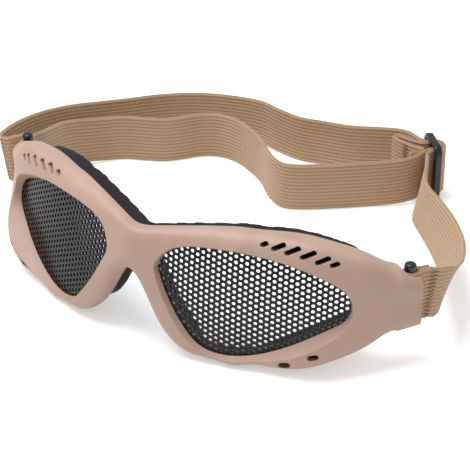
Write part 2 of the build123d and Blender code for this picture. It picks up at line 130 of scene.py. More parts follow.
class NodeSheet:
    """A node tree with short calls that add and join its nodes."""

    def __init__(self, tree: Tree) -> None:
        """Keep the tree.

        Args:
            tree: Tree that the nodes go into.
        """
        self.tree = tree

    def fill(self, socket: Socket, value: object) -> None:
        """Join a socket to another one, or set its value.

        Args:
            socket: Input socket.
            value: Output socket, number or colour.
        """
        if isinstance(value, Socket):
            self.tree.links.new(value, socket)
        else:
            socket.default_value = value

    def add(self, kind: str, values: dict[str, object] | None = None,
            **settings: object) -> bpy.types.Node:
        """Add a node.

        Args:
            kind: Type name of the node.
            values: Input names with their values or source sockets.
            settings: Properties of the node.

        Returns:
            The new node.
        """
        node = self.tree.nodes.new(kind)
        for name, value in settings.items():
            setattr(node, name, value)
        for name, value in (values or {}).items():
            self.fill(node.inputs[name], value)
        return node

    def math(self, operation: str, first: object, second: object = 0.0) -> Socket:
        """Add a Math node of two values and return its output.

        Args:
            operation: Name of the operation.
            first: First value or socket.
            second: Second value or socket.

        Returns:
            Output socket.
        """
        node = self.add("ShaderNodeMath", operation=operation)
        self.fill(node.inputs[0], first)
        self.fill(node.inputs[1], second)
        return node.outputs[0]

    def wave(self, turns: object) -> Socket:
        """Smooth wave from 0 to 1.

        Args:
            turns: Socket that counts whole waves.

        Returns:
            Output socket.
        """
        swing = self.math("COSINE", self.math("MULTIPLY", turns, 2 * pi))
        return self.math("ADD", self.math("MULTIPLY", swing, 0.5), 0.5)

    def span(self, value: object, low: float = 0.0, high: float = 1.0,
             start: float = 0.0, end: float = 1.0) -> Socket:
        """Stretch the range low to high over start to end, clamped.

        Args:
            value: Source socket.
            low: Value that becomes start.
            high: Value that becomes end.
            start: Result at low.
            end: Result at high.

        Returns:
            Output socket.
        """
        return self.add("ShaderNodeMapRange", {
            "Value": value, "From Min": low, "From Max": high, "To Min": start, "To Max": end,
        }).outputs[0]

    def blend(self, factor: object, first: object, second: object) -> Socket:
        """Mix two colours.

        Args:
            factor: Share of the second colour.
            first: Colour or socket at factor 0.
            second: Colour or socket at factor 1.

        Returns:
            Output socket.
        """
        node = self.add("ShaderNodeMix", data_type="RGBA")
        self.fill(node.inputs[0], factor)
        self.fill(node.inputs[6], first)
        self.fill(node.inputs[7], second)
        return node.outputs[2]

    def noise(self, vector: object, scale: object, detail: float = 3.0, rough: float = 0.5) -> Socket:
        """Add a noise texture and return its value.

        Args:
            vector: Source coordinates.
            scale: Scale of the noise, in waves a metre.
            detail: Octaves of the noise.
            rough: Weight of the finer octaves.

        Returns:
            Output socket.
        """
        return self.add("ShaderNodeTexNoise", {
            "Vector": vector, "Scale": scale, "Detail": detail, "Roughness": rough,
        }).outputs[0]

    def seen_by(self, first: str, second: str) -> Socket:
        """Mask of the rays of two kinds, by their names."""
        ray = self.add("ShaderNodeLightPath").outputs
        return self.math("MAXIMUM", ray[first], ray[second])


class Group(NodeSheet):
    """Node group of an effect, which reads a Vector and numbers, and gives numbers."""

    def __init__(self, effect: Effect, *inputs: str) -> None:
        """Start the group.

        Args:
            effect: Effect that it makes.
            inputs: Names of the numbers that it reads.
        """
        super().__init__(bpy.data.node_groups.new(effect.value, "ShaderNodeTree"))
        self.tree.interface.new_socket(name="Vector", in_out="INPUT", socket_type="NodeSocketVector")
        for label in inputs:
            self.tree.interface.new_socket(name=label, in_out="INPUT", socket_type="NodeSocketFloat")
        self.given = self.add("NodeGroupInput").outputs

    def own_noise(self, detail: float, rough: float, share: float = 1.0) -> Socket:
        """Noise at the group's own Vector, and at a share of its own Scale.

        Args:
            detail: Octaves of the noise.
            rough: Weight of the finer octaves.
            share: Share of the scale.

        Returns:
            Output socket.
        """
        scale = self.given["Scale"]
        if share != 1.0:
            scale = self.math("MULTIPLY", scale, share)
        return self.noise(self.given["Vector"], scale, detail, rough)

    def give(self, **results: Socket) -> Tree:
        """End the group.

        Args:
            results: Sockets that it gives, by the names of its outputs.

        Returns:
            Its node tree.
        """
        for label in results:
            self.tree.interface.new_socket(name=label, in_out="OUTPUT", socket_type="NodeSocketFloat")
        self.add("NodeGroupOutput", results)
        return self.tree


class Effects:
    """Node groups of the shared effects, each built once."""

    def __init__(self) -> None:
        """Build every group."""
        self.groups = {
            Effect.GRAIN: self.grain(), Effect.RUB: self.rub(), Effect.DUST: self.dust(),
            Effect.SCRATCH: self.scratch(), Effect.WEAVE: self.weave(), Effect.CELLS: self.cells(),
            Effect.RECESS_SHADE: self.recess_shade(),
        }

    @staticmethod
    def grain() -> Tree:
        """Fine grain with a broad drift of tone."""
        group = Group(Effect.GRAIN, "Scale")
        fine = group.own_noise(4.0, 0.6)
        broad = group.own_noise(3.0, 0.5, 0.012)
        tone = group.math("ADD", group.math("MULTIPLY", fine, 0.35), group.math("MULTIPLY", broad, 0.65))
        return group.give(Height=fine, Tone=group.span(tone, 0.3, 0.7))

    @staticmethod
    def rub() -> Tree:
        """Broken mask along the edges, where handling rubs a surface."""
        group = Group(Effect.RUB, "Reach", "Scale")
        rounded = group.add("ShaderNodeBevel", {"Radius": group.given["Reach"]}, samples=EDGE_SAMPLES)
        turn = group.add("ShaderNodeVectorMath", operation="DOT_PRODUCT")
        group.fill(turn.inputs[0], rounded.outputs[0])
        group.fill(turn.inputs[1], group.add("ShaderNodeNewGeometry").outputs["Normal"])
        edge = group.span(turn.outputs["Value"], 0.995, 0.86)
        patches = group.span(group.own_noise(4.0, 0.65), 0.38, 0.62)
        return group.give(Mask=group.math("MULTIPLY", edge, patches))

    @staticmethod
    def dust() -> Tree:
        """Thin dust on what faces upwards."""
        group = Group(Effect.DUST, "Scale")
        normal = group.add("ShaderNodeNewGeometry").outputs["Normal"]
        upward = group.add("ShaderNodeSeparateXYZ", {"Vector": normal}).outputs["Z"]
        patches = group.span(group.own_noise(5.0, 0.7), 0.42, 0.75)
        return group.give(Mask=group.math("MULTIPLY", group.span(upward, 0.1, 0.95), patches))

    @staticmethod
    def scratch() -> Tree:
        """Hairline scratches that run one way."""
        group = Group(Effect.SCRATCH)
        lines = group.add("ShaderNodeMapping", {
            "Vector": group.given["Vector"], "Rotation": (0.3, 0.5, 0.8), "Scale": (2600.0, 160.0, 160.0)})
        return group.give(Mask=group.span(group.noise(lines.outputs[0], 1.0, 2.0, 0.4), 0.66, 0.72))

    @staticmethod
    def weave() -> Tree:
        """Elastic webbing: lengthwise ribs, crossed by staggered picks, with a mask of painted shade in the
        grooves.
        """
        group = Group(Effect.WEAVE, "Ribs", "Picks")
        place = group.add("ShaderNodeSeparateXYZ", {"Vector": group.given["Vector"]}).outputs
        across = group.math("MULTIPLY", place["Y"], group.given["Ribs"])
        rib = group.wave(group.math("ADD", across, 0.5))
        shift = group.math("MULTIPLY", group.math("FLOOR", across), 0.5)
        along = group.math("MULTIPLY", place["X"], group.given["Picks"])
        pick = group.wave(group.math("ADD", along, shift))
        yarn = group.add("ShaderNodeMapping", {
            "Vector": group.given["Vector"], "Scale": (1500.0, 60.0, 1.0)})
        fuzz = group.noise(yarn.outputs[0], 1.0, 3.0, 0.6)
        height = group.math("ADD", group.math("MULTIPLY", rib, 0.6), group.math("MULTIPLY", pick, 0.2))
        # The groove mask is painted shade, darkest between the ribs.
        return group.give(
            Height=group.math("ADD", height, group.math("MULTIPLY", fuzz, 0.3)),
            Tone=group.span(pick, 0.1, 0.8, 0.1, 0.9), Groove=group.span(rib, 0.55, 0.0),
            Fuzz=group.span(fuzz, 0.5, 0.8), Nap=group.span(fuzz, 0.2, 0.8))

    @staticmethod
    def cells() -> Tree:
        """Small open cells of cut foam."""
        group = Group(Effect.CELLS, "Scale")
        cell = group.add("ShaderNodeTexVoronoi", {
            "Vector": group.given["Vector"], "Scale": group.given["Scale"]})
        depth = group.span(cell.outputs["Distance"], 0.1, 0.7)
        tone = group.math("MULTIPLY", group.math("ADD", depth, group.own_noise(4.0, 0.5, 0.1)), 0.5)
        return group.give(Height=group.math("SUBTRACT", 1.0, depth), Tone=tone)

    @staticmethod
    def recess_shade() -> Tree:
        """Mask of painted shade in slots, grooves and inner corners, where little light comes."""
        group = Group(Effect.RECESS_SHADE, "Reach", "Scale")
        open_sky = group.add("ShaderNodeAmbientOcclusion", {"Distance": group.given["Reach"]},
                             samples=EDGE_SAMPLES)
        deep = group.span(open_sky.outputs["AO"], 0.62, 0.12)
        patches = group.span(group.own_noise(4.0, 0.6), 0.3, 0.6, 0.75)
        return group.give(Mask=group.math("MULTIPLY", deep, patches))


class Finish:
    """A material with its shader and the coordinates that its patterns read."""

    def __init__(self, name: str, coordinates: Coordinates = Coordinates.SOLID) -> None:
        """Start the material.

        Args:
            name: Name of the material.
            coordinates: What its patterns lie on.
        """
        self.material = bpy.data.materials.new(name)
        self.material.use_nodes = True
        self.sheet = NodeSheet(self.material.node_tree)
        self.shader = self.material.node_tree.nodes["Principled BSDF"]
        self.place = self.sheet.add("ShaderNodeTexCoord").outputs[coordinates.value]
        self.placed: dict[str, dict[str, Socket]] = {}

    def effect(self, group: Tree, values: dict[str, float]) -> dict[str, Socket]:
        """Place a shared effect on this material's coordinates, once.

        Args:
            group: Group of the effect.
            values: Its input values, which count the first time.

        Returns:
            Its output sockets by name.
        """
        if group.name not in self.placed:
            node = self.sheet.add("ShaderNodeGroup", {"Vector": self.place, **values}, node_tree=group)
            self.placed[group.name] = {socket.name: socket for socket in node.outputs}
        return self.placed[group.name]

    def surface(self, **values: object) -> None:
        """Fill the shader's sockets; an underscore stands for a space in their names.

        Args:
            values: Socket names with values or source sockets.
        """
        for name, value in values.items():
            self.sheet.fill(self.shader.inputs[name.replace("_", " ")], value)

    def relief(self, height: object, strength: float, depth: float, edge: float = 0.0) -> None:
        """Add a bump.

        Args:
            height: Height socket.
            strength: Share of the bump that shows.
            depth: Depth in metres.
            edge: Radius in metres that the edges are softened by.
        """
        bump = self.sheet.add("ShaderNodeBump", {"Height": height, "Strength": strength, "Distance": depth})
        if edge:
            soft = self.sheet.add("ShaderNodeBevel", {"Radius": edge}, samples=EDGE_SAMPLES)
            self.sheet.fill(bump.inputs["Normal"], soft.outputs[0])
        self.surface(Normal=bump.outputs[0])


@dataclass(frozen=True)
class Layer:
    """Mask over a finish: the share of its colour that covers, and what roughness and height lose."""

    effect: Effect
    share: float = 0.0
    colour: Colour = WHITE
    scale: float = 0.0
    reach: float = 0.0
    gloss: float = 0.0
    carve: float = 0.0
    output: str = "Mask"

    def inputs(self) -> dict[str, float]:
        """Inputs of the effect, where they are set."""
        return {name: size for name, size in (("Scale", self.scale), ("Reach", self.reach)) if size}


@dataclass(frozen=True)
class Recipe:
    """Base of the finishes: a pattern between two tones, layers over it, its shine and its relief."""

    name: str = "plain"
    pattern: Effect = Effect.GRAIN
    coordinates: Coordinates = Coordinates.SOLID
    deep: Colour = WHITE
    pale: Colour = WHITE
    scale: float = 0.0
    layers: tuple[Layer, ...] = ()
    rough: Ends = (0.5, 0.5)
    rough_output: str = "Tone"
    refraction: float = 1.5
    sheen: float = 0.0
    sheen_rough: float = 0.5
    bump: float = 1.0
    depth: float = 0.0
    edge: float = 0.0

    def inputs(self) -> dict[str, float]:
        """Inputs of the pattern."""
        return {"Scale": self.scale}

    def build(self, effects: Effects) -> Material:
        """Build the material.

        Args:
            effects: Shared effects.

        Returns:
            The material.
        """
        finish = Finish(self.name, self.coordinates)
        sheet = finish.sheet
        pattern = finish.effect(effects.groups[self.pattern], self.inputs())
        colour = sheet.blend(pattern["Tone"], self.deep, self.pale)
        rough = sheet.span(pattern[self.rough_output], start=self.rough[0], end=self.rough[1])
        height = pattern["Height"]
        for layer in self.layers:
            mask = finish.effect(effects.groups[layer.effect], layer.inputs())[layer.output]
            if layer.share:
                colour = sheet.blend(sheet.math("MULTIPLY", mask, layer.share), colour, layer.colour)
            if layer.gloss:
                rough = sheet.math("SUBTRACT", rough, sheet.math("MULTIPLY", mask, layer.gloss))
            if layer.carve:
                height = sheet.math("SUBTRACT", height, sheet.math("MULTIPLY", mask, layer.carve))
        finish.surface(Base_Color=colour, Roughness=rough, IOR=self.refraction,
                       Sheen_Weight=self.sheen, Sheen_Roughness=self.sheen_rough)
        finish.relief(height, self.bump, self.depth, self.edge)
        return finish.material


@dataclass(frozen=True)
class MouldedPlastic(Recipe):
    """Matt plastic with a fine spark-eroded grain, paler where handled, with painted shade darkening its
    slots.
    """

    name: str = "frame_moulding"
    deep: Colour = paint(174, 144, 127)
    pale: Colour = paint(188, 157, 142)
    scale: float = 2600.0
    layers: tuple[Layer, ...] = (
        Layer(Effect.RUB, 0.45, paint(212, 187, 172), scale=220.0, reach=0.7 * MM, gloss=0.12),
        Layer(Effect.DUST, 0.22, paint(210, 192, 176), scale=160.0),
        # Painted shade: dark brown laid into slots and inner corners by ambient occlusion.
        Layer(Effect.RECESS_SHADE, 0.75, paint(66, 46, 36), scale=300.0, reach=2.4 * MM),
    )
    rough: Ends = (0.46, 0.56)
    bump: float = 0.35
    depth: float = 0.05 * MM
    edge: float = 0.45 * MM


@dataclass(frozen=True)
class GlossPlastic(Recipe):
    """Dark glossy plastic with hairline scratches and soft edge wear."""

    name: str = "dark_moulding"
    deep: Colour = paint(18, 19, 25)
    pale: Colour = paint(28, 30, 37)
    scale: float = 1800.0
    layers: tuple[Layer, ...] = (
        Layer(Effect.RUB, 0.6, paint(88, 92, 102), scale=500.0, reach=0.5 * MM),
        Layer(Effect.SCRATCH, gloss=-0.2, carve=1.0),
    )
    rough: Ends = (0.26, 0.36)
    bump: float = 0.2
    depth: float = 0.03 * MM
    edge: float = 0.3 * MM


@dataclass(frozen=True)
class PaintedSteel(Recipe):
    """Black powder coat on pressed steel sheet, thin at the edges of the holes."""

    name: str = "mesh_coating"
    deep: Colour = paint(7, 7, 9)
    pale: Colour = paint(17, 17, 20)
    scale: float = 5200.0
    layers: tuple[Layer, ...] = (
        Layer(Effect.RUB, 0.1, paint(84, 84, 90), scale=900.0, reach=0.15 * MM),
        Layer(Effect.DUST, 0.02, paint(84, 84, 90), scale=420.0),
    )
    rough: Ends = (0.24, 0.34)
    refraction: float = 1.36
    bump: float = 0.3
    depth: float = 0.02 * MM


@dataclass(frozen=True)
class CutFoam(Recipe):
    """Black cut foam with small open cells."""

    name: str = "cut_foam"
    pattern: Effect = Effect.CELLS
    deep: Colour = paint(5, 5, 6)
    pale: Colour = paint(20, 20, 22)
    scale: float = 2300.0
    layers: tuple[Layer, ...] = (Layer(Effect.DUST, 0.03, paint(120, 118, 115), scale=300.0),)
    rough: Ends = (0.85, 1.0)
    sheen: float = 0.04
    bump: float = 0.7
    depth: float = 0.2 * MM


@dataclass(frozen=True)
class ElasticWebbing(Recipe):
    """Ribbed elastic webbing of undyed yarn, with painted shade darkening its grooves."""

    name: str = "ribbed_webbing"
    pattern: Effect = Effect.WEAVE
    coordinates: Coordinates = Coordinates.SURFACE
    deep: Colour = paint(174, 141, 108)
    pale: Colour = paint(204, 174, 143)
    layers: tuple[Layer, ...] = (
        # Painted shade: darker colour in the grooves between the ribs.
        Layer(Effect.WEAVE, 0.6, paint(140, 107, 76), output="Groove"),
        Layer(Effect.WEAVE, 0.35, paint(218, 192, 162), output="Fuzz"),
    )
    rough: Ends = (0.78, 0.95)
    rough_output: str = "Nap"
    sheen: float = 0.25
    sheen_rough: float = 0.4
    bump: float = 0.7
    depth: float = 0.22 * MM
    pick: float = 0.8 * MM
    ribs: int = field(kw_only=True)

    def inputs(self) -> dict[str, float]:
        """Inputs of the weave."""
        return {"Ribs": float(self.ribs), "Picks": 1 / self.pick}


@dataclass(frozen=True)
class SewingThread(Recipe):
    """Spun thread, darker than the webbing."""

    name: str = "sewing_thread"
    deep: Colour = paint(122, 84, 54)
    pale: Colour = paint(166, 126, 90)
    scale: float = 5200.0
    rough: Ends = (0.7, 0.9)
    sheen: float = 0.2
    bump: float = 0.6
    depth: float = 0.06 * MM


def clear_selection() -> None:
    """Deselect every object."""
    bpy.ops.object.select_all(action="DESELECT")


def take(piece: Piece) -> Piece:
    """Make one object the only selected and active one."""
    clear_selection()
    piece.select_set(True)
    bpy.context.view_layer.objects.active = piece
    return piece


def new_piece(name: str) -> Piece:
    """Name the active object and its mesh.

    Args:
        name: Name of the piece.

    Returns:
        The object.
    """
    piece = bpy.context.active_object
    piece.name = name
    piece.data.name = name
    return piece


def apply_modifier(piece: Piece, kind: str, **settings: object) -> None:
    """Add a modifier and apply it.

    Args:
        piece: Object that is shaped.
        kind: Type of the modifier.
        settings: Its properties.
    """
    take(piece)
    modifier = piece.modifiers.new(kind.lower(), kind)
    for name, value in settings.items():
        setattr(modifier, name, value)
    bpy.ops.object.modifier_apply(modifier=modifier.name)


def linked(name: str, data: bpy.types.ID) -> Piece:
    """Link a new object to the scene.

    Args:
        name: Name of the object.
        data: Its mesh or curve.

    Returns:
        The object.
    """
    piece = bpy.data.objects.new(name, data)
    bpy.context.scene.collection.objects.link(piece)
    return piece


def weld(piece: Piece, distance: float = 0.0) -> None:
    """Turn the faces outwards, after joining corners that lie within the distance.

    Args:
        piece: Object to weld.
        distance: Largest gap that is closed, or 0 for none.
    """
    take(piece)
    bpy.ops.object.mode_set(mode="EDIT")
    bpy.ops.mesh.select_all(action="SELECT")
    if distance:
        bpy.ops.mesh.remove_doubles(threshold=distance)
    bpy.ops.mesh.normals_make_consistent(inside=False)
    bpy.ops.object.mode_set(mode="OBJECT")


def tube_faces(rings: int, size: int) -> list[tuple[int, ...]]:
    """Faces of a closed tube: four-sided ones between its rings, and a cap at each end.

    Args:
        rings: Number of rings.
        size: Corners of a ring.

    Returns:
        The faces, as indices of corners.
    """
    faces = []
    for i in range(rings - 1):
        for j in range(size):
            k = (j + 1) % size
            faces.append((i * size + j, i * size + k, (i + 1) * size + k, (i + 1) * size + j))
    last = (rings - 1) * size
    return [*faces, tuple(reversed(range(size))), tuple(range(last, last + size))]


def mesh_piece(name: str, points: list[Vector], faces: list[tuple[int, ...]]) -> Piece:
    """Link a new mesh object.

    Args:
        name: Name of the piece.
        points: Its corners.
        faces: Its faces, as indices of corners.

    Returns:
        The object.
    """
    mesh = bpy.data.meshes.new(name)
    mesh.from_pydata(points, [], faces)
    return linked(name, mesh)


def dress(piece: Piece, material: Material, body: Body | None) -> None:
    """Give a new piece its material and its body.

    Args:
        piece: Object to dress.
        material: Its finish.
        body: Body that it rides on, or None where it bends between bodies.
    """
    piece.data.materials.clear()
    piece.data.materials.append(material)
    if body is not None:
        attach(piece, body.value)
    LOG.info("%s: %d faces", piece.name, len(piece.data.polygons))


@dataclass
class MouldedParts:
    """The rigid mouldings, which are CAD nodes with better finishes."""

    plastic: tuple[str, ...] = ("frame_shell",)
    gloss: tuple[str, ...] = ("strap_pin_right", "strap_pin_left", "strap_slider")

    def finish(self, frame_finish: Material, gloss_finish: Material) -> None:
        """Dress the nodes.

        Args:
            frame_finish: Finish of the frame.
            gloss_finish: Finish of the pins and the slider.
        """
        for names, material in ((self.plastic, frame_finish), (self.gloss, gloss_finish)):
            for name in names:
                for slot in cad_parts[name].material_slots:
                    slot.material = material
                LOG.info("%s: finished", name)


@dataclass
class LensPlace:
    """Place of the right-hand lens opening, as in the CAD."""

    middle: Vector = field(default_factory=lambda: Vector((41.5, -6.7, 24.4)) * MM)
    yaw: float = radians(22.1)
    tilt: float = radians(12.2)
    length: float = 67.4 * MM
    height: float = 35.6 * MM
    outline: tuple[Ends, ...] = (
        (-0.475, 0.180), (-0.430, -0.020), (-0.340, -0.310), (-0.235, -0.520),
        (-0.100, -0.575), (0.060, -0.520), (0.230, -0.390), (0.420, -0.200),
        (0.508, -0.070), (0.515, 0.060), (0.360, 0.265), (0.150, 0.375),
        (-0.050, 0.425), (-0.250, 0.440), (-0.390, 0.405), (-0.452, 0.320),
    )

    def matrix(self, shift: float) -> Matrix:
        """Placement of the lens plane, moved forward by shift.

        Args:
            shift: Distance along the plane's normal.

        Returns:
            Matrix from the plane's own coordinates to the row frame.
        """
        along = Vector((cos(self.yaw), sin(self.yaw), 0))
        out = Vector((sin(self.yaw), -cos(self.yaw), 0))
        forward = (out * cos(self.tilt) + Vector((0, 0, sin(self.tilt)))).normalized()
        up = forward.cross(along)
        turn = Matrix((along, up, forward)).transposed().to_4x4()
        return Matrix.Translation(self.middle + forward * shift) @ turn

    def rounded(self, grow: float, steps: int) -> list[Vector]:
        """Closed smooth outline, grown outwards.

        Args:
            grow: Distance that the outline is grown by.
            steps: Points between two corners.

        Returns:
            Points on the lens plane.
        """
        corners = [Vector((u * self.length, v * self.height)) for u, v in self.outline]
        count = len(corners)
        grown = []
        for i, corner in enumerate(corners):
            run = (corners[(i + 1) % count] - corners[i - 1]).normalized()
            grown.append(corner + Vector((run.y, -run.x)) * grow)
        points = []
        for i in range(count):
            a, b, c, d = (grown[(i + k) % count] for k in (-1, 0, 1, 2))
            for j in range(steps):
                t = j / steps
                points.append(0.5 * (2 * b + (c - a) * t + (2 * a - 5 * b + 4 * c - d) * t * t
                                     + (3 * b - a - 3 * c + d) * t * t * t))
        return points


@dataclass
class PerforatedLenses:
    """Domed lenses of sheet steel with staggered round holes."""

    place: LensPlace
    column_pitch: float = 1.95 * MM
    hole_pitch: float = 2.1 * MM
    hole_radius: float = 0.69 * MM
    dome_radius: float = 190.0 * MM
    crown: float = 1.2 * MM
    thickness: float = 0.8 * MM
    lap: float = 2.4 * MM
    prism: float = 12.0 * MM
    hole_rim: float = 0.22 * MM
    core_share: float = 0.4
    margin: float = 1.05
    drop: float = 0.068
    outline_steps: int = 6
    crease: float = radians(40)

    def one_hole(self) -> Piece:
        """Flat cell of the sheet with its round hole."""
        clear_selection()
        bpy.ops.mesh.primitive_plane_add(size=1.0)
        piece = new_piece("mesh_lens_right_holes")
        bpy.ops.object.mode_set(mode="EDIT")
        bpy.ops.transform.resize(value=(self.column_pitch, self.hole_pitch, 1.0))
        bpy.ops.mesh.subdivide(number_cuts=3)
        bpy.ops.object.mode_set(mode="OBJECT")
        near = self.core_share * self.column_pitch
        for kind in (piece.data.vertices, piece.data.edges, piece.data.polygons):
            kind.foreach_set("select", [False] * len(kind))
        for vertex in piece.data.vertices:
            vertex.select = max(abs(vertex.co.x), abs(vertex.co.y)) < near
        bpy.ops.object.mode_set(mode="EDIT")
        bpy.ops.mesh.select_mode(type="VERT")
        bpy.ops.mesh.dissolve_verts()
        bpy.ops.mesh.select_mode(type="FACE")
        bpy.ops.mesh.select_all(action="SELECT")
        bpy.ops.mesh.inset(thickness=self.hole_rim)
        bpy.ops.object.mode_set(mode="OBJECT")
        ring = [v for v in piece.data.vertices if v.select]
        for vertex in ring:
            vertex.co = vertex.co.normalized() * self.hole_radius
        bpy.ops.object.mode_set(mode="EDIT")
        bpy.ops.mesh.delete(type="FACE")
        bpy.ops.object.mode_set(mode="OBJECT")
        return piece

    def domed_sheet(self) -> Piece:
        """Perforated sheet, larger than the opening, pressed to the dome."""
        piece = self.one_hole()
        reach = self.lap + self.hole_pitch
        columns = int((self.place.length + 2 * reach) / (2 * self.column_pitch)) + 1
        rows = int((self.place.height * self.margin + 2 * reach) / self.hole_pitch) + 1
        steps = (
            (2, (self.column_pitch, self.hole_pitch / 2, 0)),
            (columns, (2 * self.column_pitch, 0, 0)),
            (rows, (0, self.hole_pitch, 0)),
        )
        for count, offset in steps:
            apply_modifier(piece, "ARRAY", count=count, use_relative_offset=False,
                           use_constant_offset=True, constant_offset_displace=offset,
                           use_merge_vertices=True, merge_threshold=MERGE)
        middle = Vector(((2 * columns - 1) * self.column_pitch, (rows - 0.5) * self.hole_pitch, 0)) / 2
        drop = Vector((0.0, self.drop * self.place.height, 0))
        piece.data.transform(Matrix.Translation(Vector((0, 0, self.dome_radius)) - middle - drop))
        apply_modifier(piece, "CAST", cast_type="SPHERE", factor=1.0, size=self.dome_radius,
                       use_radius_as_size=False)
        apply_modifier(piece, "SOLIDIFY", thickness=self.thickness, offset=-1.0, use_even_offset=False)
        return piece

    def outline_block(self) -> Piece:
        """Block over the lens outline, which trims the sheet."""
        points = self.place.rounded(self.lap, self.outline_steps)
        levels = (self.dome_radius - self.prism, self.dome_radius + self.prism)
        corners = [Vector((p.x, p.y, level)) for level in levels for p in points]
        return mesh_piece("outline_block", corners, tube_faces(len(levels), len(points)))

    def build(self, coating: Material) -> None:
        """Make both lenses.

        Args:
            coating: Finish of the sheet.
        """
        sheet = self.domed_sheet()
        block = self.outline_block()
        apply_modifier(sheet, "BOOLEAN", operation="INTERSECT", solver="EXACT", object=block)
        bpy.data.objects.remove(block)
        sheet.data.transform(self.place.matrix(self.crown - self.dome_radius))
        other = linked("mesh_lens_left_holes", sheet.data.copy())
        other.data.name = other.name
        other.data.transform(Matrix.Diagonal((-1, 1, 1, 1)))
        other.data.flip_normals()
        for piece, node in ((sheet, "mesh_lens_right"), (other, "mesh_lens_left")):
            take(piece)
            bpy.ops.object.shade_smooth_by_angle(angle=self.crease)
            dress(piece, coating, Body.GOGGLES)
            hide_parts(node)


@dataclass
class FoamPad:
    """Face pad of cut foam, with softened edges and a slightly uneven skin."""

    voxel: float = 0.85 * MM
    unevenness: float = 0.08 * MM
    lump: float = 14.0 * MM
    fill: float = 0.9
    band_grow: Ends = (0.6 * MM, 2.1 * MM)
    band_depth: Ends = (5.0 * MM, 9.0 * MM)
    band_top: float = -0.25
    band_steps: int = 6
    soften: float = 0.5
    soften_rounds: int = 6

    def band(self, place: LensPlace, side: Side) -> Piece:
        """Strip of foam under one eye, which closes the ring that the solid leaves open.

        Args:
            place: Place of the right-hand lens opening.
            side: Eye.

        Returns:
            The strip.
        """
        inner, outer = (place.rounded(grow, self.band_steps) for grow in self.band_grow)
        low = [i for i, p in enumerate(inner) if p.y < self.band_top * place.height]
        front, back = (-depth for depth in self.band_depth)
        turn = Matrix.Diagonal((side.value, 1, 1, 1)) @ place.matrix(0)
        corners = []
        for i in low:
            for spot, level in ((inner[i], front), (outer[i], front), (outer[i], back), (inner[i], back)):
                corners.append(turn @ Vector((spot.x, spot.y, level)))
        return mesh_piece("foam_band", corners, tube_faces(len(low), len(corners) // len(low)))

    def build(self, foam: Material, place: LensPlace) -> None:
        """Make the pad from its CAD solid and the strips under the eyes.

        Args:
            foam: Finish of the pad.
            place: Place of the right-hand lens opening.
        """
        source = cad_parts["face_foam"]
        piece = linked("face_foam_pad", source.data.copy())
        strips = [self.band(place, side) for side in Side]
        take(piece)
        for strip in strips:
            strip.select_set(True)
        bpy.ops.object.join()
        weld(piece, MERGE)
        apply_modifier(piece, "REMESH", mode="VOXEL", voxel_size=self.voxel)
        apply_modifier(piece, "SMOOTH", factor=self.soften, iterations=self.soften_rounds)
        lumps = bpy.data.textures.new("foam_lumps", "CLOUDS")
        lumps.noise_scale = self.lump
        apply_modifier(piece, "SUBSURF", levels=1, render_levels=1)
        apply_modifier(piece, "DISPLACE", texture=lumps, texture_coords="LOCAL",
                       strength=self.unevenness, mid_level=1.0)
        take(piece)
        bpy.ops.object.shade_smooth()
        dress(piece, foam, Body.GOGGLES)
        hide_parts("face_foam")


